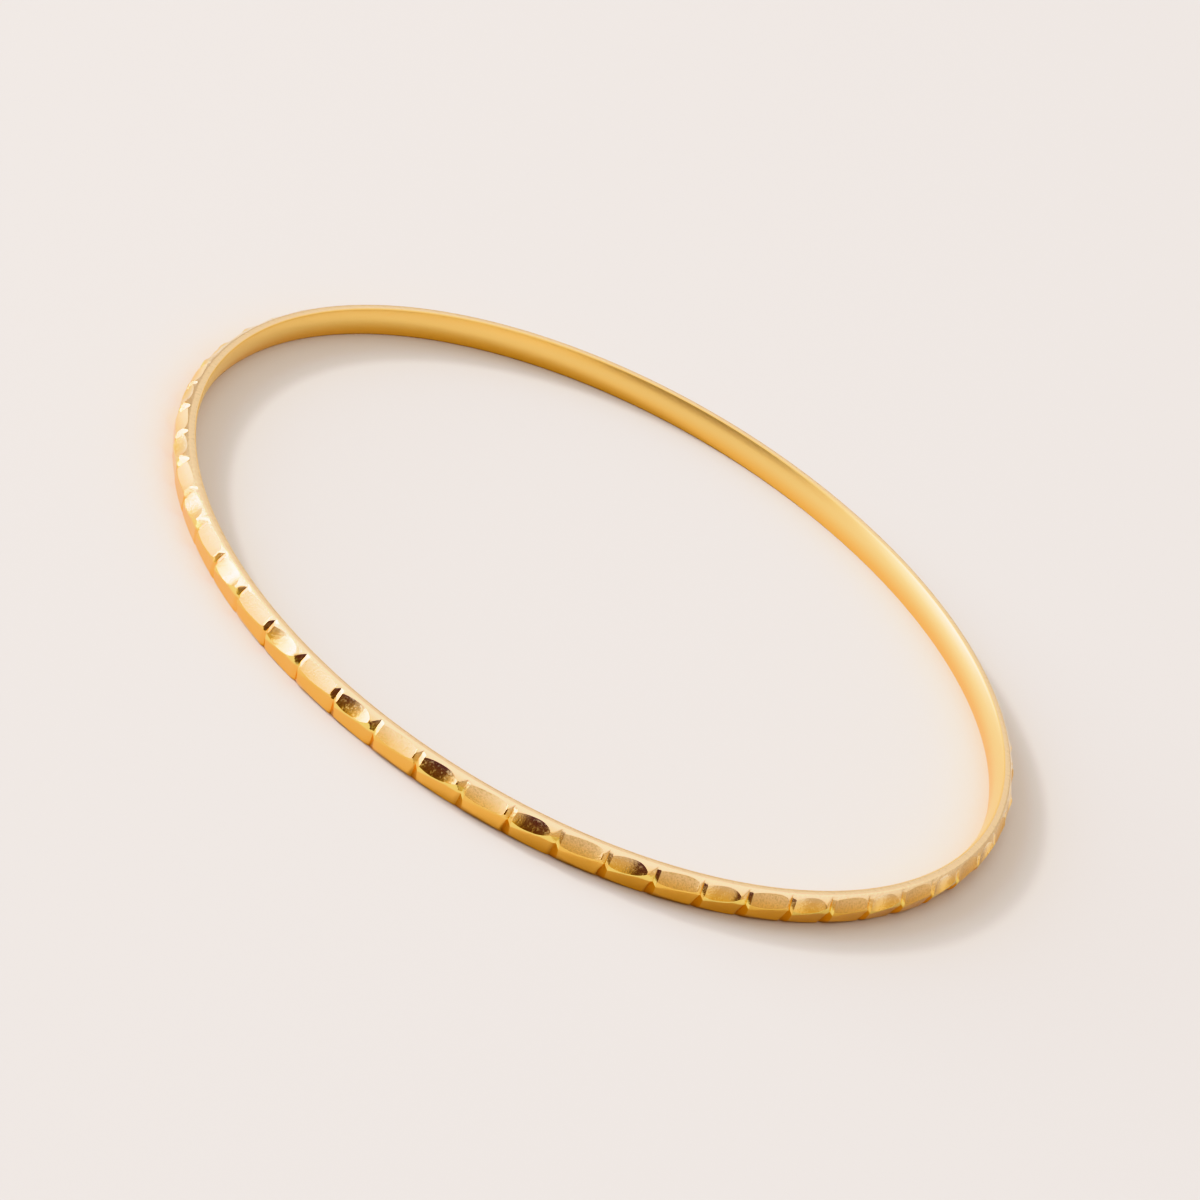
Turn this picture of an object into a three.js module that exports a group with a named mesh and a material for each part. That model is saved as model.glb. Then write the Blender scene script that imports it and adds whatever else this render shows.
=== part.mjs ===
// A rigid closed bangle: one solid wire bent to a ring. Its outside has a bevel above the ridge, and
// long satin facets and long polished facets take turns to cut that ridge away. A shallower cut runs
// below, and a narrow notch is cut across the bevel between each two facets.
// Millimetres and degrees. The ring lies flat with its axis on +Z and its base on z = 0.
import * as THREE from 'three';

// The ring and the uncut wire
const INNER_RADIUS = 31.75; // 63.5 mm clear across, for a hand of average size
const NOSE_RADIUS = 33.12; // the upright outer side of the uncut wire
const WIRE_HEIGHT = 2.4; // along the ring's axis
const LAND_INNER_RADIUS = 32.05; // where the flat rings on the top and the base begin
const INNER_EDGE_HEIGHT = 0.7; // how far the inner edges are eased down the wall
const EDGE_ROUNDING = 0.25; // radius between a land and the shoulder outside it

// The two shoulders run from the ridge, where the nose ends, to the rounding beside the land.
// ridge: its distance from half height. landOuter: radius of the land. topLift: slope at the rounding.
const UPPER_SHOULDER = shoulder({ ridge: 0.62, landOuter: 32.4, topLift: 54 });
const LOWER_SHOULDER = shoulder({ ridge: 0.25, landOuter: 32.5, topLift: 45 });

// The repeat round the ring: a pair of facets, first the polished one and then the satin one
const FACET_COUNT = 58;
const START_ANGLE = 11.35;

// One row for each finish. startLift and endLift: the slope at its square end and where it runs out.
// depth: its deepest cut below the ridge. start: the share of that depth at its square end. peak and
// end: where it is deepest and where it runs out, as shares of the repeat. power: how late it rises.
// late and notchFrom: its last station, and where the notch begins. lowerLift and lowerDepth: the cut
// below it.
const FINISHES = {
  polished: {
    startLift: 21, endLift: 30, depth: 0.235, start: 0.66, peak: 0.3, end: 0.77, power: 2.8,
    late: 0.68, notchFrom: 0.755, lowerLift: 19, lowerDepth: 0.125,
  },
  satin: {
    startLift: 25, endLift: 30, depth: 0.23, start: 0.76, peak: 0.4, end: 0.93, power: 3,
    late: 0.72, notchFrom: 0.825, lowerLift: 14, lowerDepth: 0.1,
  },
};
const RIDGE_EASING = 0.03; // the least cut, which takes the sharpness off the ridge
const LEAST_NOSE = 0.02; // where two deep cuts meet, the nose is cut back this much further

// The lower cut starts shallow after each notch and soon has its full depth.
const LOWER_START = 0.2;
const LOWER_FULL_AT = 0.62;

// The notch: its floor is a straight line across the bevel
const NOTCH_BOTTOM = 0.925;
const NOTCH_LIFT = 26;
const NOTCH_DEPTH = 0.27;

function cos(degrees) {
  return Math.cos(THREE.MathUtils.degToRad(degrees));
}

function sin(degrees) {
  return Math.sin(THREE.MathUtils.degToRad(degrees));
}

function arccos(ratio) {
  return THREE.MathUtils.radToDeg(Math.acos(ratio));
}

// Sections are worked out from the uncut nose at half height: out is outward along the radius and up
// is along the axis. The points of the lower half are worked out upside down and turned over.
function turnedOver({ out, up }) {
  return { out, up: -up };
}

// An arc through the ridge and the start of the edge rounding, with the given slope at the rounding
function shoulder({ ridge, landOuter, topLift }) {
  const top = {
    out: landOuter + EDGE_ROUNDING * cos(topLift) - NOSE_RADIUS,
    up: WIRE_HEIGHT / 2 - EDGE_ROUNDING * (1 - sin(topLift)),
  };
  const rise = top.up - ridge;
  const chordLift = THREE.MathUtils.radToDeg(Math.atan2(-top.out, rise));
  const halfTurn = topLift - chordLift;
  const radius = Math.hypot(top.out, rise) / (2 * sin(halfTurn));
  return { ridge, landOuter, top, ridgeLift: chordLift - halfTurn, radius };
}

// Where a flat cut of this slope and depth below the ridge leaves the shoulder
function cutTop(side, cut) {
  const ratio = cos(cut.lift - side.ridgeLift) - cut.depth / side.radius;
  const lift = cut.lift + arccos(ratio);
  return {
    out: side.radius * (cos(lift) - cos(side.ridgeLift)),
    up: side.ridge + side.radius * (sin(lift) - sin(side.ridgeLift)),
  };
}

// Where the flat cut meets the nose, which is upright and at the given distance out
function noseEdge(side, cut, out) {
  return { out, up: side.ridge - (cut.depth + out * cos(cut.lift)) / sin(cut.lift) };
}

// How far out the nose lies: cut back where the upper and the lower cut would meet inside it
function noseOut(upper, lower) {
  const reach = ({ depth, lift }) => depth / sin(lift);
  const lean = ({ lift }) => cos(lift) / sin(lift);
  const gap = UPPER_SHOULDER.ridge + LOWER_SHOULDER.ridge - reach(upper) - reach(lower);
  return Math.min(0, gap / (lean(upper) + lean(lower)) - LEAST_NOSE);
}

// The floor of a notch: how far out the wire still reaches at this height above half height
function notchFloor(up) {
  return (-NOTCH_DEPTH - (up - UPPER_SHOULDER.ridge) * sin(NOTCH_LIFT)) / cos(NOTCH_LIFT);
}

// How deep the scoop of a facet is at this share of the repeat, from 0 to 1
function scoop(finish, share) {
  if (share >= finish.end) return 0;
  if (share < finish.peak) {
    return 1 - (1 - finish.start) * ((finish.peak - share) / finish.peak) ** 2;
  }
  return 1 - ((share - finish.peak) / (finish.end - finish.peak)) ** finish.power;
}

// The closed outline of the wire at one station, as radius and height
function section(finish, share) {
  const inNotch = share === NOTCH_BOTTOM;
  const bite = inNotch ? 0 : scoop(finish, share);
  const along = Math.min(1, share / finish.end);
  const upper = {
    lift: THREE.MathUtils.lerp(finish.startLift, finish.endLift, along),
    depth: Math.max(RIDGE_EASING, finish.depth * bite),
  };
  const lowerBite = THREE.MathUtils.lerp(LOWER_START, 1, Math.min(1, share / LOWER_FULL_AT));
  const lower = { lift: finish.lowerLift, depth: finish.lowerDepth * lowerBite };
  const nose = noseOut(upper, lower);
  const outside = [
    UPPER_SHOULDER.top,
    cutTop(UPPER_SHOULDER, upper),
    noseEdge(UPPER_SHOULDER, upper, nose),
    turnedOver(noseEdge(LOWER_SHOULDER, lower, nose)),
    turnedOver(cutTop(LOWER_SHOULDER, lower)),
    turnedOver(LOWER_SHOULDER.top),
  ];
  const reach = (point) => (inNotch ? Math.min(point.out, notchFloor(point.up)) : point.out);
  const outline = [
    [INNER_RADIUS, INNER_EDGE_HEIGHT],
    [INNER_RADIUS, WIRE_HEIGHT - INNER_EDGE_HEIGHT],
    [LAND_INNER_RADIUS, WIRE_HEIGHT],
    [UPPER_SHOULDER.landOuter, WIRE_HEIGHT],
    ...outside.map((point) => [NOSE_RADIUS + reach(point), WIRE_HEIGHT / 2 + point.up]),
    [LOWER_SHOULDER.landOuter, 0],
    [LAND_INNER_RADIUS, 0],
    [INNER_RADIUS, INNER_EDGE_HEIGHT],
  ];
  return outline.reverse(); // run this way, the lathe's faces point out
}

// The stations round the ring, each with its angle and outline
function stations() {
  const list = [];
  const repeat = 360 / FACET_COUNT;
  for (let facet = 0; facet < FACET_COUNT; facet += 1) {
    const finish = facet % 2 === 0 ? FINISHES.polished : FINISHES.satin;
    const { peak, late, notchFrom } = finish;
    for (const share of [0, peak, (peak + late) / 2, late, notchFrom, NOTCH_BOTTOM]) {
      const angle = START_ANGLE + (facet + share) * repeat;
      list.push({ angle, outline: section(finish, share) });
    }
  }
  return list;
}

// A lathe makes the closed ring of faces, and each of its outlines is then put at its station.
function bangleGeometry() {
  const rings = stations();
  const profile = rings[0].outline.map(([radius, height]) => new THREE.Vector2(radius, height));
  const geometry = new THREE.LatheGeometry(profile, rings.length);
  const position = geometry.getAttribute('position');
  for (let ring = 0; ring <= rings.length; ring += 1) {
    const { angle, outline } = rings[ring % rings.length];
    outline.forEach(([radius, height], row) => {
      const vertex = ring * outline.length + row;
      position.setXYZ(vertex, radius * cos(angle), radius * sin(angle), height);
    });
  }
  geometry.computeVertexNormals();
  return geometry;
}

const gold = new THREE.MeshStandardMaterial({ color: 0xe8c078, metalness: 1, roughness: 0.25 });

const bangle = new THREE.Mesh(bangleGeometry(), gold);
bangle.name = 'bangle';

const object = new THREE.Group();
object.add(bangle);

export default object;
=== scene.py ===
"""A rigid closed gold bangle lying on a pale floor, in soft studio light.

The wire is plain inside. Outside, long polished and long satin facets take turns above its ridge,
a shallower row runs below it, and a narrow notch is cut across the wire between each two.
The bangle is one mesh, made by a Geometry Nodes tree that works out the wire's section at each
step round the ring. Lengths are in metres and angles in radians, unless a comment says otherwise.
"""
from math import cos, pi, radians, sin

import bpy
from mathutils import Matrix, Vector


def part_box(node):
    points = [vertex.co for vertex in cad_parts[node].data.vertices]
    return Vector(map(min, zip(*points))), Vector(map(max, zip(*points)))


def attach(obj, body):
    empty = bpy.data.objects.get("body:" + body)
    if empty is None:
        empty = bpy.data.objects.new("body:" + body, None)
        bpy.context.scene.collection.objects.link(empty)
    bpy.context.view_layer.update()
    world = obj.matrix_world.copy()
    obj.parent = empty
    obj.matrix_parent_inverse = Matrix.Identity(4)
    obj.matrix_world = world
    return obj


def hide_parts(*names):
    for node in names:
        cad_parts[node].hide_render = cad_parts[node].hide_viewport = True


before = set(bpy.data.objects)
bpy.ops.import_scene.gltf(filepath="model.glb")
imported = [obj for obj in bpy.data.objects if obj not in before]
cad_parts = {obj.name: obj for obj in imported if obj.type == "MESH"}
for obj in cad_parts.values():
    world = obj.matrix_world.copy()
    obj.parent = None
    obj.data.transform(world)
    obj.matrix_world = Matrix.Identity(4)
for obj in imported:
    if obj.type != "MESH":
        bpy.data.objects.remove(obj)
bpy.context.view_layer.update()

MM = 0.001

# ---------------------------------------------------------------- sizes

# The ring, as the CAD solid has it
solid_corners = [vertex.co.copy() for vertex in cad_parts["bangle"].data.vertices]
radii = [corner.xy.length for corner in solid_corners]
base, top = (corner.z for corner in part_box("bangle"))
HALF_HEIGHT = (top - base) / 2
NOSE_RADIUS = max(radii)
FLATNESS = 0.001 * MM


def land_radii(height):
    """How far from the ring's axis the solid's corners at this height lie."""
    on_land = (corner for corner in solid_corners if abs(corner.z - height) < FLATNESS)
    return [corner.xy.length for corner in on_land]


# The inputs of the bangle's node tree. A lift is the slope of a normal, up from the level.
SIZES = {
    "Half Height": HALF_HEIGHT,
    "Inner Radius": min(radii),
    "Nose Radius": NOSE_RADIUS,
    "Land Inner Radius": min(land_radii(top)),
    "Upper Land Radius": max(land_radii(top)),
    "Lower Land Radius": max(land_radii(base)),
    "Wall Dome": 0.17 * MM,
    "Inner Edge Height": 0.17 * MM,
    "Edge Rounding": 0.25 * MM,
    "Upper Ridge": 0.62 * MM,
    "Upper Top Lift": radians(54),
    "Lower Ridge": 0.25 * MM,
    "Lower Top Lift": radians(45),
    "Polished Depth": 0.235 * MM,
    "Satin Depth": 0.23 * MM,
    "Polished Lower Depth": 0.125 * MM,
    "Satin Lower Depth": 0.1 * MM,
    "Notch Depth": 0.27 * MM,
    "Lower Notch Depth": 0.27 * MM,
}

# The repeat round the ring: polished and satin facets in turn
FACETS = 58
START_ANGLE = radians(11.35)

# Each pair of values is for a polished and for a satin facet. A place is a share of the repeat.
START_LIFT = (radians(21), radians(25))  # at its square end
END_LIFT = (radians(30), radians(30))  # where it fades out
START_SHARE_OF_DEPTH = (0.66, 0.76)  # how deep its square end is
DEEPEST_AT = (0.3, 0.4)
FADED_AT = (0.77, 0.93)  # where it would reach the ridge
STOPS_AT = (0.745, 0.81)  # where it is cut short before that
FADING_POWER = (2.8, 3)  # how late it rises
NOTCH_FROM = (0.755, 0.825)
LEAST_GAP = 0.01  # between where it stops and the notch
RIDGE_EASING = 0.03 * MM  # the least cut, which takes the sharpness off the ridge
LEAST_NOSE = 0.02 * MM  # where two deep cuts meet, the nose is cut back this much further

# The row below the nose
LOWER_LIFT = (radians(19), radians(14))
LOWER_START_SHARE = 0.2  # how deep it is just after a notch
LOWER_FULL_AT = 0.62

# An inner edge is a part of an ellipse, which goes on from the domed wall with no crease.
INNER_EDGE_START = radians(38)

# The notch: its floor is a straight line across the bevel
NOTCH_BOTTOM = 0.925
NOTCH_LIFT = radians(26)
SATIN_NOTCH_START = 0.34  # the share of its depth that it begins with, in a satin facet's end
LOWER_NOTCH_LIFT = radians(20)

# Its lower end leans over towards the next facet.
FLARE = 0.06
FLARE_FADES_BY = 0.25  # how far into the next repeat it reaches
FLARE_FULL_DOWN = 0.9 * MM  # below half height
FLARE_STARTS_IN = 1.05 * MM  # in from the uncut nose
FLARE_FULL_IN = 0.7 * MM

# How much one facet differs from the next, either way
STOP_VARIES = 0.012
NOTCH_FROM_VARIES = 0.01
LIFT_VARIES = radians(1)
DEPTH_VARIES = 0.06
LOWER_DEPTH_VARIES = 0.08
NOTCH_DEPTH_VARIES = 0.1

# Steps round one repeat and rows round the section
FACET_STEPS = 19
UNCUT_STEPS = 2
LEFT_WALL_STEPS = 5
RIGHT_WALL_STEPS = 1
REPEAT_STEPS = FACET_STEPS + UNCUT_STEPS + LEFT_WALL_STEPS + RIGHT_WALL_STEPS
COLUMNS = FACETS * REPEAT_STEPS
STEP_CROWDING = 1.4  # above 1, a facet's steps lie closer together towards its end
SECTION_ROWS = 54
MERGING_DISTANCE = 0.0005 * MM
SHARP_EDGE = radians(18)


# ---------------------------------------------------------------- node trees

class Socket:
    """An output of a node, or a number, on which Python's operators add Math nodes."""

    def __init__(self, net, end):
        self.net = net
        self.end = end

    def __add__(self, other):
        return self.net.maths("ADD", self, other)

    def __sub__(self, other):
        return self.net.maths("SUBTRACT", self, other)

    def __rsub__(self, other):
        return self.net.maths("SUBTRACT", other, self)

    def __mul__(self, other):
        return self.net.maths("MULTIPLY", self, other)

    def __truediv__(self, other):
        return self.net.maths("DIVIDE", self, other)

    def __rtruediv__(self, other):
        return self.net.maths("DIVIDE", other, self)

    def __pow__(self, other):
        return self.net.maths("POWER", self, other)

    def __neg__(self):
        return self.net.maths("MULTIPLY", self, -1)

    def __gt__(self, other):
        return self.net.maths("GREATER_THAN", self, other)

    def __lt__(self, other):
        return self.net.maths("LESS_THAN", self, other)

    __radd__ = __add__
    __rmul__ = __mul__


class Net:
    """A node tree under construction."""

    def __init__(self, tree):
        self.tree = tree

    def add(self, kind, settings=None, sockets=None, out=None):
        """Adds a node: its settings first, then its sockets' values or links; gives an output."""
        node = self.tree.nodes.new(kind)
        for name, value in (settings or {}).items():
            if name == "stops":
                self.set_stops(node.color_ramp, value)
            else:
                setattr(node, name, value)
        for key, value in (sockets or {}).items():
            self.feed(self.find(node.inputs, key), value)
        if not node.outputs:
            return node
        return Socket(self, self.find(node.outputs, out))

    def find(self, ends, key):
        """A socket by its number or its name, or the first one in use."""
        if isinstance(key, int):
            return ends[key]
        return next(end for end in ends if end.enabled and key in (None, end.name))

    def feed(self, end, value):
        if isinstance(value, Socket):
            self.tree.links.new(value.end, end)
        elif value is not None:
            end.default_value = value

    def set_stops(self, ramp, stops):
        while len(ramp.elements) < len(stops):
            ramp.elements.new(1)
        for element, (position, colour) in zip(ramp.elements, stops):
            element.position = position
            element.color = colour

    def maths(self, operation, *values):
        sockets = dict(enumerate(values))
        return self.add("ShaderNodeMath", {"operation": operation}, sockets)

    def split(self, vector):
        """The three numbers of a vector."""
        first = self.add("ShaderNodeSeparateXYZ", sockets={"Vector": vector})
        return [Socket(self, end) for end in first.end.node.outputs]

    def mix_colours(self, first, second, share):
        ends = {0: share, 6: first, 7: second}
        return self.add("ShaderNodeMix", {"data_type": "RGBA"}, ends, out=2)

    def noise(self, place, size, detail, roughness):
        """Unevenness, from 0 to 1, whose largest swells are of about this size."""
        return self.add("ShaderNodeTexNoise", sockets={
            "Vector": place, "Scale": 1 / size, "Detail": detail, "Roughness": roughness})

    def cos(self, angle):
        return self.maths("COSINE", angle)

    def sin(self, angle):
        return self.maths("SINE", angle)

    def tan(self, angle):
        return self.maths("TANGENT", angle)

    def floor(self, value):
        return self.maths("FLOOR", value)

    def least(self, first, *others):
        for other in others:
            first = self.maths("MINIMUM", first, other)
        return first

    def most(self, first, other):
        return self.maths("MAXIMUM", first, other)

    def clamp(self, value):
        return self.add("ShaderNodeClamp", sockets={"Value": value})

    def part(self, value, low, high):
        """How far value has come from low to high, held between 0 and 1."""
        return self.clamp((value - low) / (high - low))

    def smooth(self, value, low, high):
        """The same with an eased start and end."""
        return self.add(
            "ShaderNodeMapRange",
            {"interpolation_type": "SMOOTHSTEP"},
            {"Value": value, "From Min": low, "From Max": high},
        )


def blend(first, second, share):
    """Numbers or sockets, from first to second."""
    return first + (second - first) * share


def blend_points(first, second, share):
    return tuple(blend(a, b, share) for a, b in zip(first, second))


# ---------------------------------------------------------------- the bangle's shape

class Section:
    """The outline of the wire, from the foot of its inner wall round over the top and back.

    A point is how far it lies out from the uncut nose and up from half height.
    """

    def __init__(self, net, row):
        self.net = net
        self.row = row
        self.rows = 0
        self.first_rows = {}
        self.point = None

    def strip(self, name, rows, shape):
        """Adds a strip of faces; shape turns a share from 0 to 1 into a point."""
        first = self.rows
        self.first_rows[name] = first
        self.rows += rows
        point = shape(self.net.part(self.row, first, self.rows))
        if self.point is None:
            self.point = point
        else:
            here = self.row > first + 0.5
            self.point = tuple(
                self.net.add("GeometryNodeSwitch", {"input_type": "FLOAT"},
                             {"Switch": here, "False": before, "True": after})
                for before, after in zip(self.point, point)
            )

    def between(self, row, first_name, last_name):
        """1 for the faces from one strip up to another."""
        return (row > self.first_rows[first_name]) * (row < self.first_rows[last_name])


def turned_over(point):
    out, up = point
    return out, -up


class Flank:
    """The uncut outside of the wire on one side of half height, worked out as if it were above.

    It is an arc from the ridge, where the upright nose ends, to the rounding beside the land.
    """

    def __init__(self, net, sizes, side):
        self.net = net
        self.ridge = sizes[side + " Ridge"]
        self.top_lift = sizes[side + " Top Lift"]
        self.land_outer = sizes[side + " Land Radius"] - sizes["Nose Radius"]
        self.rounding_radius = sizes["Edge Rounding"]
        self.rounding_height = sizes["Half Height"] - self.rounding_radius
        run, height = self.rounding(self.top_lift)
        rise = height - self.ridge
        chord_lift = net.maths("ARCTAN2", -run, rise)
        half_turn = self.top_lift - chord_lift
        self.ridge_lift = chord_lift - half_turn
        self.radius = net.maths("SQRT", run * run + rise * rise) / (2 * net.sin(half_turn))

    def rounding(self, lift):
        out = self.land_outer + self.rounding_radius * self.net.cos(lift)
        return out, self.rounding_height + self.rounding_radius * self.net.sin(lift)

    def shoulder(self, lift):
        net = self.net
        out = self.radius * (net.cos(lift) - net.cos(self.ridge_lift))
        up = self.ridge + self.radius * (net.sin(lift) - net.sin(self.ridge_lift))
        return out, up

    def cut_top_lift(self, lift, depth):
        """Where a flat cut of this lift, and depth below the ridge, leaves the shoulder."""
        ratio = self.net.cos(lift - self.ridge_lift) - depth / self.radius
        return self.net.least(lift + self.net.maths("ARCCOSINE", ratio), self.top_lift)

    def nose_edge(self, lift, depth, out):
        """Where the flat cut meets the nose."""
        net = self.net
        return out, self.ridge - (depth + out * net.cos(lift)) / net.sin(lift)

    def facet(self, top_lift, edge, uncut):
        """The shape from a facet's top to the nose: straight, or round where nothing is cut."""
        top = self.shoulder(top_lift)
        ridge = (0, self.ridge)

        def shape(share):
            straight = blend_points(top, edge, share)
            arc = self.shoulder(blend(top_lift, self.ridge_lift, share))
            chord = blend_points(top, ridge, share)
            return tuple(s + uncut * (a - c) for s, a, c in zip(straight, arc, chord))

        return shape


class Repeat:
    """The values that one step round the ring has: its place in the repeat and the cuts there."""

    def __init__(self, net, sizes, column):
        self.net = net
        self.cell = net.floor((column + 0.5) / REPEAT_STEPS)
        self.number = net.maths("FLOORED_MODULO", self.cell, FACETS)
        self.satin = net.maths("FLOORED_MODULO", self.cell, 2)
        self.seed = 0  # of the last random number
        self.set_place(column - self.cell * REPEAT_STEPS)
        self.set_upper_cut(sizes["Polished Depth"], sizes["Satin Depth"])
        self.set_lower_cut(sizes["Polished Lower Depth"], sizes["Satin Lower Depth"])
        self.set_notch()

    def set_place(self, step):
        """The share of the repeat that this step is at, and how far it is through each stretch."""
        net = self.net
        first_wall = FACET_STEPS + UNCUT_STEPS
        self.in_uncut = net.part(step, FACET_STEPS, first_wall)
        self.in_wall = net.part(step, first_wall, first_wall + LEFT_WALL_STEPS)
        self.to_next = net.part(step, FACET_STEPS, REPEAT_STEPS)
        self.uncut = step > FACET_STEPS - 0.5
        self.stop = self.by_kind(STOPS_AT) + self.vary(STOP_VARIES)
        notch_from = self.by_kind(NOTCH_FROM) + self.vary(NOTCH_FROM_VARIES)
        notch_from = net.most(notch_from, self.stop + LEAST_GAP)
        along = 1 - (1 - net.part(step, 0, FACET_STEPS)) ** STEP_CROWDING
        self.share = (
            along * self.stop
            + self.in_uncut * (notch_from - self.stop)
            + self.in_wall * (NOTCH_BOTTOM - notch_from)
        )

    def set_upper_cut(self, polished_depth, satin_depth):
        """The facet above the nose: it deepens to its peak, and then fades out or is cut short."""
        net = self.net
        peak = self.by_kind(DEEPEST_AT)
        faded = self.by_kind(FADED_AT) + self.stop - self.by_kind(STOPS_AT)
        before = net.most(peak - self.share, 0) / peak
        after = net.most(self.share - peak, 0) / (faded - peak)
        start = self.by_kind(START_SHARE_OF_DEPTH)
        bite = 1 - (1 - start) * before ** 2 - after ** self.by_kind(FADING_POWER)
        bite = net.clamp(bite) * (1 - self.uncut)
        full = self.by_kind((polished_depth, satin_depth))
        lean = net.part(self.share, 0, faded)
        self.lift = blend(self.by_kind(START_LIFT), self.by_kind(END_LIFT), lean)
        self.lift = self.lift + self.vary(LIFT_VARIES)
        self.depth = net.most(full * (1 + self.vary(DEPTH_VARIES)) * bite, RIDGE_EASING)

    def set_lower_cut(self, polished_depth, satin_depth):
        """The cut below the nose: shallow just after a notch, and soon at its full depth."""
        bite = blend(LOWER_START_SHARE, 1, self.net.part(self.share, 0, LOWER_FULL_AT))
        full = self.by_kind((polished_depth, satin_depth))
        self.lower_depth = full * (1 + self.vary(LOWER_DEPTH_VARIES)) * bite
        self.lower_lift = self.by_kind(LOWER_LIFT)

    def set_notch(self):
        """How deep the notch is here, above and below, as shares of its full depth."""
        size = 1 + self.vary(NOTCH_DEPTH_VARIES)
        self.lower_notch_size = self.in_wall * size
        self.notch_size = self.uncut * blend(self.satin * SATIN_NOTCH_START, size, self.in_wall)

    def by_kind(self, values):
        polished, satin = values
        return blend(polished, satin, self.satin)

    def vary(self, most):
        """A random number for each facet, up to the given one either way."""
        self.seed += 1
        return self.net.add(
            "FunctionNodeRandomValue",
            {"data_type": "FLOAT"},
            {"Min": -most, "Max": most, "ID": self.number, "Seed": self.seed},
        )


def nose_place(net, upper, lower, here):
    """How far out the nose lies: cut back where the two cuts would meet inside it."""
    reach = here.depth / net.sin(here.lift) + here.lower_depth / net.sin(here.lower_lift)
    lean = 1 / net.tan(here.lift) + 1 / net.tan(here.lower_lift)
    gap = upper.ridge + lower.ridge - reach
    return net.least(gap / lean - LEAST_NOSE, 0)


def next_start_lift(flank, sizes, satin):
    """Where the square end of the next facet leaves the shoulder."""
    starts = []
    for kind, name in enumerate(("Polished Depth", "Satin Depth")):
        depth = sizes[name] * START_SHARE_OF_DEPTH[kind]
        starts.append(flank.cut_top_lift(START_LIFT[kind], depth))
    return blend(starts[1], starts[0], satin)


def wire_section(net, row, here, sizes):
    """The whole outline at one step round the ring."""
    upper = Flank(net, sizes, "Upper")
    lower = Flank(net, sizes, "Lower")
    half_height = sizes["Half Height"]
    wall = sizes["Inner Radius"] - sizes["Nose Radius"]
    wall_end = wall + sizes["Wall Dome"]
    wall_half = half_height - sizes["Inner Edge Height"]
    land_inner = sizes["Land Inner Radius"] - sizes["Nose Radius"]

    def inner_wall(share):
        up = blend(-wall_half, wall_half, share)
        return wall + sizes["Wall Dome"] * (up / wall_half) ** 2, up

    def inner_edge(share):
        turn = blend(INNER_EDGE_START, pi / 2, share)
        out = land_inner + (wall_end - land_inner) * net.cos(turn) / cos(INNER_EDGE_START)
        rise = (net.sin(turn) - sin(INNER_EDGE_START)) / (1 - sin(INNER_EDGE_START))
        return out, wall_half + sizes["Inner Edge Height"] * rise

    def land(flank):
        return lambda share: (blend(land_inner, flank.land_outer, share), half_height)

    def rounding(flank):
        return lambda share: flank.rounding(blend(pi / 2, flank.top_lift, share))

    def shoulder(flank, end_lift):
        return lambda share: flank.shoulder(blend(flank.top_lift, end_lift, share))

    def backwards(shape):
        return lambda share: turned_over(shape(1 - share))

    upper_cut = upper.cut_top_lift(here.lift, here.depth)
    upper_cut = blend(upper_cut, next_start_lift(upper, sizes, here.satin), here.to_next)
    lower_cut = lower.cut_top_lift(here.lower_lift, here.lower_depth)
    nose_out = nose_place(net, upper, lower, here)
    upper_edge = upper.nose_edge(here.lift, here.depth, nose_out)
    lower_edge = lower.nose_edge(here.lower_lift, here.lower_depth, nose_out)

    def nose(share):
        return blend_points(upper_edge, turned_over(lower_edge), share)

    section = Section(net, row)
    section.strip("inner wall", 8, inner_wall)
    section.strip("upper inner edge", 5, inner_edge)
    section.strip("upper land", 1, land(upper))
    section.strip("upper rounding", 4, rounding(upper))
    section.strip("upper shoulder", 6, shoulder(upper, upper_cut))
    section.strip("upper facet", 8, upper.facet(upper_cut, upper_edge, here.uncut))
    section.strip("nose", 3, nose)
    section.strip("lower facet", 5, backwards(lower.facet(lower_cut, lower_edge, 0)))
    section.strip("lower shoulder", 4, backwards(shoulder(lower, lower_cut)))
    section.strip("lower rounding", 4, backwards(rounding(lower)))
    section.strip("lower land", 1, backwards(land(lower)))
    section.strip("lower inner edge", 5, backwards(inner_edge))
    out, up = section.point
    cut_in = notched(net, sizes, upper, lower, here, out, up)
    section.point = (cut_in, up)
    return section


def notched(net, sizes, upper, lower, here, out, up):
    """How far out the wire still reaches where the notches are cut."""
    depth = here.notch_size * sizes["Notch Depth"]
    upper_floor = (-depth - (up - upper.ridge) * sin(NOTCH_LIFT)) / cos(NOTCH_LIFT)
    crest_out, crest_up = lower.shoulder(LOWER_NOTCH_LIFT)
    crest = crest_out * cos(LOWER_NOTCH_LIFT) + crest_up * sin(LOWER_NOTCH_LIFT)
    depth = here.lower_notch_size * sizes["Lower Notch Depth"]
    lower_floor = (crest - depth + up * sin(LOWER_NOTCH_LIFT)) / cos(LOWER_NOTCH_LIFT)
    return net.least(out, upper_floor, lower_floor)


def place_on_ring(net, sizes, here, point):
    """The section's point at its station; the notches lean over towards the base."""
    out, up = point
    low = net.part(-up, 0, FLARE_FULL_DOWN) * net.part(out, -FLARE_STARTS_IN, -FLARE_FULL_IN)
    lean = low * FLARE * (1 - net.part(here.share, 0, FLARE_FADES_BY))
    angle = START_ANGLE + (here.cell + here.share + lean) * (2 * pi / FACETS)
    radius = out + sizes["Nose Radius"]
    return net.add("ShaderNodeCombineXYZ", sockets={
        "X": radius * net.cos(angle), "Y": radius * net.sin(angle), "Z": up + sizes["Half Height"]})


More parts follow.
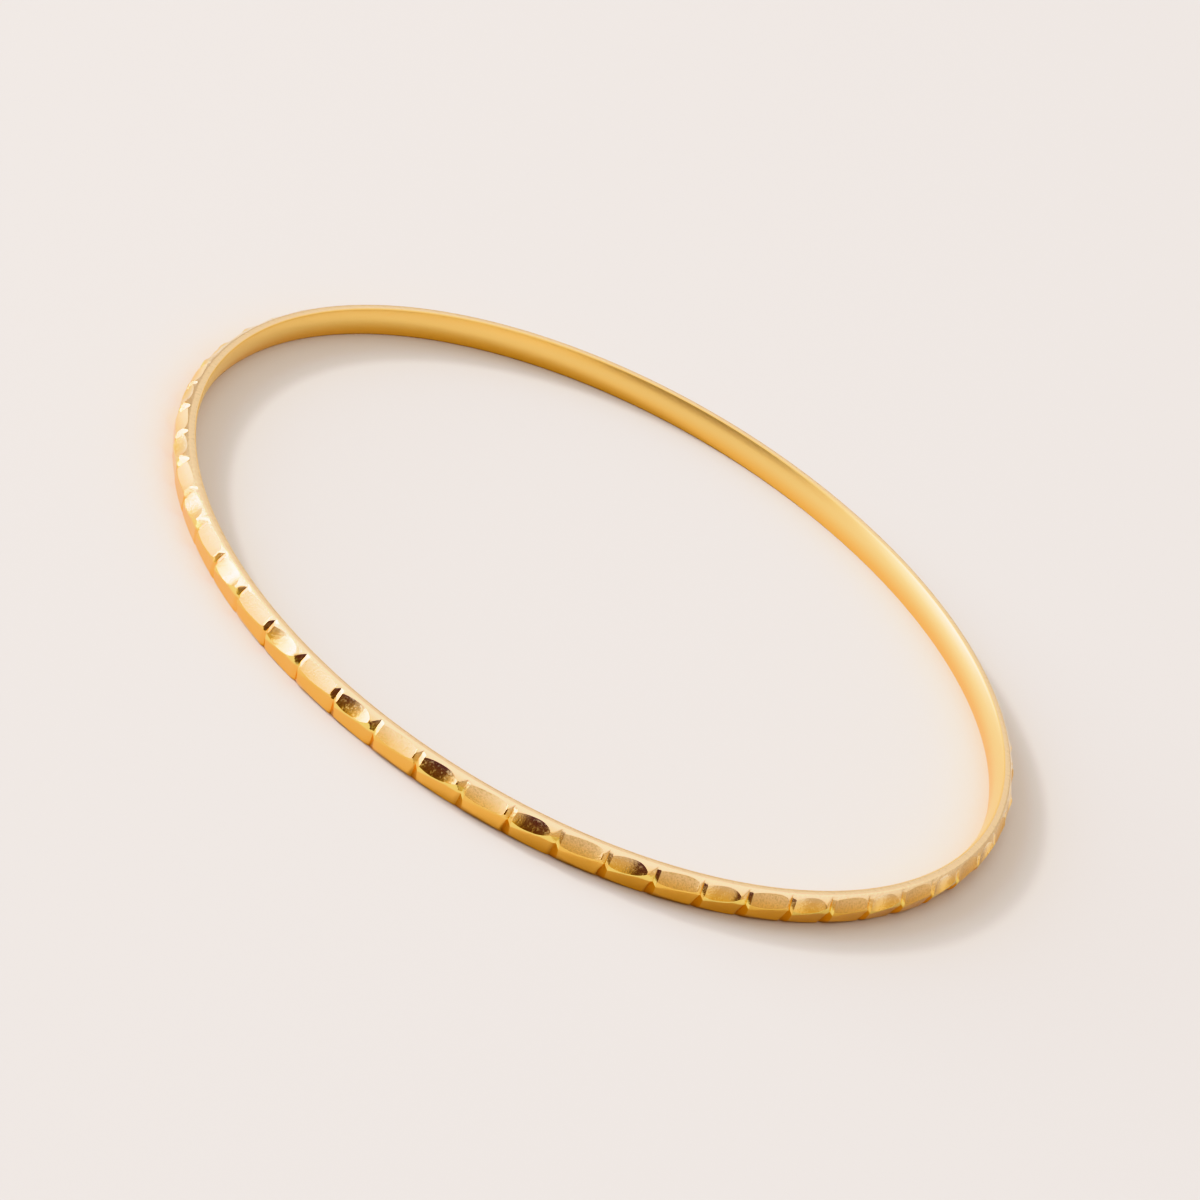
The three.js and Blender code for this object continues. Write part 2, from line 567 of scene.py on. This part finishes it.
def bangle_tree():
    """A flat grid, one unit square to a face, that is bent to the ring.

    Its columns run round the ring and its rows round the wire's section. On a face, column and row
    are those of its middle.
    """
    tree = bpy.data.node_groups.new("faceted bangle", "GeometryNodeTree")
    tree.interface.new_socket("Geometry", in_out="OUTPUT", socket_type="NodeSocketGeometry")
    for name in ("Polished Gold", "Satin Gold"):
        tree.interface.new_socket(name, in_out="INPUT", socket_type="NodeSocketMaterial")
    for name in SIZES:
        tree.interface.new_socket(name, in_out="INPUT", socket_type="NodeSocketFloat")
    net = Net(tree)
    group_in = net.add("NodeGroupInput").end.node
    inputs = {end.name: Socket(net, end) for end in group_in.outputs if end.name}

    x, y, _ = net.split(net.add("GeometryNodeInputPosition"))
    column = x + COLUMNS / 2
    row = y + SECTION_ROWS / 2
    here = Repeat(net, inputs, net.maths("ROUND", column))
    section = wire_section(net, net.maths("ROUND", row), here, inputs)
    assert section.rows == SECTION_ROWS
    point = place_on_ring(net, inputs, here, section.point)

    mesh = net.add("GeometryNodeMeshGrid", sockets={
        "Size X": COLUMNS, "Size Y": SECTION_ROWS,
        "Vertices X": COLUMNS + 1, "Vertices Y": SECTION_ROWS + 1}, out="Mesh")
    face_cell = net.floor(column / REPEAT_STEPS)
    face_step = column - face_cell * REPEAT_STEPS
    satin_cell = net.maths("FLOORED_MODULO", face_cell, 2)
    right_wall = face_step > REPEAT_STEPS - RIGHT_WALL_STEPS
    upper = section.between(row, "upper facet", "nose") * (face_step < FACET_STEPS)
    nose = section.between(row, "nose", "lower facet")
    lower = section.between(row, "lower facet", "lower shoulder")
    marks = {
        # Three of these marks carry painted light into the colour: painted reflection on the lower
        # row, painted reflection on the polished nose, and painted shade in the creases of the
        # lower notches.
        "below": section.between(row, "lower facet", "lower land"),
        "crease": section.between(row, "lower facet", "lower rounding") * right_wall,
        "inside": 1 - section.between(row, "upper land", "lower inner edge"),
        "bright nose": nose * (1 - satin_cell),
        "part": upper + 2 * nose + lower,
        "facet": upper,
        "satin": upper * satin_cell,
    }
    for name, value in marks.items():
        mesh = net.add("GeometryNodeStoreNamedAttribute", {"data_type": "FLOAT", "domain": "FACE"},
                       {"Geometry": mesh, "Name": name, "Value": value})
    mesh = net.add("GeometryNodeSetPosition", sockets={"Geometry": mesh, "Position": point})
    mesh = net.add("GeometryNodeMergeByDistance",
                   sockets={"Geometry": mesh, "Distance": MERGING_DISTANCE})
    mesh = net.add("GeometryNodeFlipFaces", sockets={"Mesh": mesh})

    # On an edge, a mark is the mean of its two faces', so it has a half where two parts meet.
    parts = net.add("GeometryNodeInputNamedAttribute", {"data_type": "FLOAT"}, {"Name": "part"})
    satin = net.add("GeometryNodeInputNamedAttribute", {"data_type": "FLOAT"}, {"Name": "satin"})
    half = net.maths("FRACT", parts)
    border = (half > 0.1) * (half < 0.9)
    sharp = net.most(border, net.add("GeometryNodeInputMeshEdgeAngle") > SHARP_EDGE)
    mesh = net.add("GeometryNodeSetShadeSmooth", {"domain": "FACE"},
                   {"Geometry": mesh, "Shade Smooth": True})
    mesh = net.add("GeometryNodeSetShadeSmooth", {"domain": "EDGE"},
                   {"Geometry": mesh, "Selection": sharp, "Shade Smooth": False})
    mesh = net.add("GeometryNodeRealizeInstances", sockets={"Geometry": mesh})
    mesh = net.add("GeometryNodeSetMaterial", sockets={
        "Geometry": mesh, "Material": inputs["Polished Gold"]})
    mesh = net.add("GeometryNodeSetMaterial", sockets={
        "Geometry": mesh, "Selection": satin > 0.5, "Material": inputs["Satin Gold"]})
    net.add("NodeGroupOutput", sockets={"Geometry": mesh})
    return tree


def make_bangle(polished, satin):
    """Runs the tree on an empty object and keeps the mesh that it gives."""
    tree = bangle_tree()
    maker = bpy.data.objects.new("bangle maker", bpy.data.meshes.new("bangle maker"))
    bpy.context.scene.collection.objects.link(maker)
    modifier = maker.modifiers.new("facets", "NODES")
    modifier.node_group = tree
    values = {"Polished Gold": polished, "Satin Gold": satin, **SIZES}
    for item in tree.interface.items_tree:
        if item.in_out == "INPUT":
            modifier[item.identifier] = values[item.name]
    bpy.context.view_layer.update()
    evaluated = maker.evaluated_get(bpy.context.evaluated_depsgraph_get())
    mesh = bpy.data.meshes.new_from_object(evaluated)
    mesh.name = "bangle"
    bpy.data.objects.remove(maker)
    for name in ("part", "satin"):  # only the tree reads these two
        mesh.attributes.remove(mesh.attributes[name])
    bangle = bpy.data.objects.new("gold_bangle", mesh)
    bpy.context.scene.collection.objects.link(bangle)
    return bangle


# ---------------------------------------------------------------- finishes

# The polished gold, painted with reflection: deeper below, standing in for gold that mirrors its
# own glow and the shade under it, and paler towards the top, standing in for bright reflections.
# Each stop is a share of the wire's height and the colour there.
OUTSIDE_GOLD_PAINTED_REFLECTION = (
    (0.35, (1, 0.58, 0.13, 1)),
    (0.6, (1, 0.64, 0.17, 1)),
    (0.8, (1, 0.69, 0.29, 1)),
    (0.95, (0.97, 0.79, 0.51, 1)),
)
# Painted reflection on the lower row: a deep amber standing in for the shadowed floor and
# neighbouring gold that it mirrors.
LOWER_ROW_PAINTED_REFLECTION = (1, 0.565, 0.14, 1)
# Painted reflection on the polished nose: a bright yellow standing in for the lit floor that it
# mirrors.
NOSE_PAINTED_REFLECTION = (1, 0.75, 0.22, 1)
# Painted shade in the creases of the lower notches: a dark orange standing in for shade and gold
# mirrored in gold.
CREASE_PAINTED_SHADE = (0.88, 0.38, 0.06, 1)
# The inside is painted with reflection: a deeper amber low down and a paler gold higher up,
# standing in for what the wall mirrors.
INSIDE_GOLD = (1, 0.7, 0.25, 1)
INSIDE_LOW_PAINTED_REFLECTION = (1, 0.6, 0.16, 1)
INSIDE_PAINTED_PALING = (0.3 * MM, 1.6 * MM)  # the heights between which the inside turns paler

# The satin gold, with painted shade: darker towards the bottom and paler towards the top
SATIN_PAINTED_SHADE_GOLD = (0.84, 0.49, 0.14, 1)
SATIN_PAINTED_LIT_GOLD = (0.92, 0.66, 0.34, 1)
SATIN_PAINTED_PALING = (1.3 * MM, 2.3 * MM)
SATIN_PITS = (0.56, 0.35, 0.12, 1)
PIT_STRENGTH = 0.45

# The unevenness in the surface: the sizes of its swells, and the levels between which the specks
# become grazes and the grain becomes pits
WAVE_SIZE = 0.4 * MM
SPECK_SIZE = 0.28 * MM
GRAIN_SIZE = 0.14 * MM
GRAZES = (0.48, 0.68)
PITS = (0.55, 0.4)

# Relief, in millimetres
WAVE_HEIGHT = 0.02
SPECK_HEIGHT = 0.02
FACET_SPECK_HEIGHT = 0.014  # the same in a polished facet
GRAIN_HEIGHT = 0.07
SCOOP_MIDDLE = 0.4  # as a share of the repeat
SCOOP_HOLLOW = 0.05  # how much deeper it is at one millimetre from its middle

# Roughness: a pair is at the bottom and at the top of the unevenness.
POLISHED_ROUGHNESS = (0.03, 0.15)
GRAZE_ROUGHNESS = 0.3  # what a graze in a polished facet adds
INSIDE_ROUGHNESS = 0.36
SATIN_ROUGHNESS = (0.3, 0.44)

FLOOR_COLOUR = (0.54, 0.5, 0.465, 1)
FLOOR_ROUGHNESS = 0.9


def new_material(name):
    material = bpy.data.materials.new(name)
    material.use_nodes = True
    material.node_tree.nodes.clear()
    return material, Net(material.node_tree)


def mark(net, name):
    """What the bangle's tree has stored on a face under this name: 0 or 1."""
    return net.add("ShaderNodeAttribute", {"attribute_name": name}, out="Fac")


def metal(net, colour, roughness, height):
    """Finishes a material as bare metal; height is its relief in millimetres."""
    relief = {"Height": height, "Strength": 1, "Distance": MM}
    shader = net.add("ShaderNodeBsdfPrincipled", sockets={
        "Base Color": colour, "Metallic": 1, "Roughness": roughness,
        "Normal": net.add("ShaderNodeBump", sockets=relief)})
    net.add("ShaderNodeOutputMaterial", sockets={"Surface": shader})


def scoop_height(net, x, y, on_facet):
    """The hollow of each facet along the ring, in millimetres."""
    turn = net.maths("ARCTAN2", y, x) - START_ANGLE + 2 * pi
    share = net.maths("FRACT", turn * (FACETS / (2 * pi)))
    along = (share - SCOOP_MIDDLE) * (2 * pi / FACETS * NOSE_RADIUS / MM)
    return SCOOP_HOLLOW * along * along * on_facet


def polished_colour_with_painted_light(net, height, inside):
    ramp = net.add("ShaderNodeValToRGB", {"stops": OUTSIDE_GOLD_PAINTED_REFLECTION},
                   {"Fac": height / (2 * HALF_HEIGHT)}, "Color")
    # Painted reflection: deep amber on the lower row.
    colour = net.mix_colours(ramp, LOWER_ROW_PAINTED_REFLECTION, mark(net, "below"))
    # Painted reflection: bright yellow on the polished nose.
    colour = net.mix_colours(colour, NOSE_PAINTED_REFLECTION, mark(net, "bright nose"))
    # Painted shade: dark orange in the creases of the lower notches.
    colour = net.mix_colours(colour, CREASE_PAINTED_SHADE, mark(net, "crease"))
    # Painted reflection on the inside: paler towards the top.
    inside_painted_paling = net.smooth(height, *INSIDE_PAINTED_PALING)
    inside_colour = net.mix_colours(INSIDE_LOW_PAINTED_REFLECTION, INSIDE_GOLD, inside_painted_paling)
    return net.mix_colours(colour, inside_colour, inside)


def polished_gold():
    """Bright and slightly wavy, with fine grazes in the facets and a duller inside."""
    material, net = new_material("polished gold")
    place = net.add("ShaderNodeTexCoord", out="Object")
    x, y, z = net.split(place)
    waves = net.noise(place, WAVE_SIZE, detail=5, roughness=0.62)
    specks = net.noise(place, SPECK_SIZE, detail=4, roughness=0.8)
    inside = mark(net, "inside")
    on_facet = mark(net, "facet")
    speck_height = blend(SPECK_HEIGHT, FACET_SPECK_HEIGHT, on_facet)
    relief = WAVE_HEIGHT * waves + speck_height * specks
    grazes = on_facet * net.smooth(specks, *GRAZES)
    roughness = blend(*POLISHED_ROUGHNESS, waves) + GRAZE_ROUGHNESS * grazes
    metal(net, polished_colour_with_painted_light(net, z, inside),
          roughness=blend(roughness, INSIDE_ROUGHNESS, inside),
          height=scoop_height(net, x, y, on_facet) + relief * (1 - inside))
    return material


def satin_gold():
    """Finely grained, with darker pits."""
    material, net = new_material("satin gold")
    place = net.add("ShaderNodeTexCoord", out="Object")
    x, y, z = net.split(place)
    grain = net.noise(place, GRAIN_SIZE, detail=4, roughness=0.7)
    # Painted shade: darker towards the bottom, paler towards the top.
    colour = net.mix_colours(SATIN_PAINTED_SHADE_GOLD, SATIN_PAINTED_LIT_GOLD, net.smooth(z, *SATIN_PAINTED_PALING))
    pits = PIT_STRENGTH * net.smooth(grain, *PITS)
    metal(net, net.mix_colours(colour, SATIN_PITS, pits),
          roughness=blend(*SATIN_ROUGHNESS, grain),
          height=scoop_height(net, x, y, mark(net, "facet")) + GRAIN_HEIGHT * grain)
    return material


def floor_material():
    material, net = new_material("pale matt floor")
    shader = net.add("ShaderNodeBsdfPrincipled", sockets={
        "Base Color": FLOOR_COLOUR, "Roughness": FLOOR_ROUGHNESS})
    net.add("ShaderNodeOutputMaterial", sockets={"Surface": shader})
    return material


# ---------------------------------------------------------------- the studio

# The light that comes from the walls, the ceiling, and the dark and bright patches of the walls
WALL = (0.66, 0.52, 0.41, 1)
CEILING = (1.5, 1.42, 1.32, 1)
WALL_TO_CEILING = (0.25, 0.85)  # between the elevations that have these sines
DARK = (0.07, 0.035, 0.08, 1)
BRIGHT = (8.4, 10, 12.5, 1)

# The dark patches hold some lighter clutter.
CLUTTER = (0.6, 0.4, 0.42, 1)
CLUTTER_SIZE = 1 / 24  # as a share of the distance to the walls
CLUTTER_LEVELS = (0.5, 0.66)

# Where the middle of a patch is seen, and the angles from there between which it fades, in degrees
DARK_PATCHES = (
    {"azimuth": 258, "elevation": 19, "inner": 15, "outer": 27},
    {"azimuth": 278, "elevation": 19, "inner": 15, "outer": 27},
)
BRIGHT_PATCH = {"azimuth": 182, "elevation": 18, "inner": 12, "outer": 33}

LIGHT_DISTANCE = 0.8  # from the ring's centre
FLOOR_HALF_SIZE = 3


def direction(azimuth, elevation):
    """A unit vector; azimuth runs from +X towards +Y. Both angles are in degrees."""
    a, e = radians(azimuth), radians(elevation)
    return Vector((cos(a) * cos(e), sin(a) * cos(e), sin(e)))


def patch(net, ray, azimuth, elevation, inner, outer):
    """1 within inner degrees of the patch's middle, 0 from outer degrees on."""
    toward = net.add("ShaderNodeVectorMath", {"operation": "DOT_PRODUCT"},
                     {0: ray, 1: direction(azimuth, elevation)}, out="Value")
    return net.smooth(toward, cos(radians(outer)), cos(radians(inner)))


def studio_world():
    world = bpy.data.worlds.new("studio")
    bpy.context.scene.world = world
    world.use_nodes = True
    world.node_tree.nodes.clear()
    net = Net(world.node_tree)
    ray = net.add("ShaderNodeTexCoord", out="Generated")
    _, _, up = net.split(ray)
    clutter = net.noise(ray, CLUTTER_SIZE, detail=5, roughness=0.7)
    dark = net.mix_colours(DARK, CLUTTER, net.smooth(clutter, *CLUTTER_LEVELS))
    colour = net.mix_colours(WALL, CEILING, net.smooth(up, *WALL_TO_CEILING))
    for dark_patch in DARK_PATCHES:
        colour = net.mix_colours(colour, dark, patch(net, ray, **dark_patch))
    colour = net.mix_colours(colour, BRIGHT, patch(net, ray, **BRIGHT_PATCH))
    background = net.add("ShaderNodeBackground", sockets={"Color": colour, "Strength": 1})
    net.add("ShaderNodeOutputWorld", sockets={"Surface": background})


def disc_light(name, azimuth, elevation, size, power):
    """A round lamp that faces the ring; its size is its diameter and its power is in watts."""
    data = bpy.data.lights.new(name, "AREA")
    data.shape = "DISK"
    data.size = size
    data.energy = power
    light = bpy.data.objects.new(name, data)
    toward = direction(azimuth, elevation)
    light.location = toward * LIGHT_DISTANCE
    light.rotation_euler = toward.to_track_quat("Z", "Y").to_euler()
    bpy.context.scene.collection.objects.link(light)


def make_floor():
    """A square in the plane that the ring's base rests on."""
    mesh = bpy.data.meshes.new("floor")
    sides = ((-1, -1), (1, -1), (1, 1), (-1, 1))
    corners = [(x * FLOOR_HALF_SIZE, y * FLOOR_HALF_SIZE, base) for x, y in sides]
    mesh.from_pydata(corners, [], [(0, 1, 2, 3)])
    mesh.materials.append(floor_material())
    floor = bpy.data.objects.new("floor", mesh)
    bpy.context.scene.collection.objects.link(floor)
    return floor


def make_camera():
    """Looks down at the ring from the front, rolled so that the ring's right side hangs lower."""
    distance = 0.3817
    azimuth, elevation, roll = -91.747, 28.819, 29.697  # in degrees
    target = Vector((0, 0, HALF_HEIGHT - 0.135 * MM))  # just below the ring's centre
    toward = direction(azimuth, elevation)
    data = bpy.data.cameras.new("camera")
    data.sensor_width = 36
    data.lens = 160
    data.clip_start = 0.01
    data.clip_end = 10
    camera = bpy.data.objects.new("camera", data)
    aim = toward.to_track_quat("Z", "Y").to_matrix().to_4x4()
    turn = Matrix.Rotation(radians(roll), 4, "Z")
    camera.matrix_world = Matrix.Translation(target + toward * distance) @ aim @ turn
    bpy.context.scene.collection.objects.link(camera)
    bpy.context.scene.camera = camera


make_camera()
bangle = make_bangle(polished_gold(), satin_gold())
floor = make_floor()
disc_light("key", azimuth=176, elevation=30, size=0.09, power=3)
disc_light("glint", azimuth=177, elevation=6, size=0.1, power=2)
studio_world()
bpy.context.scene.view_settings.view_transform = "Khronos PBR Neutral"

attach(bangle, "root")
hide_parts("bangle")
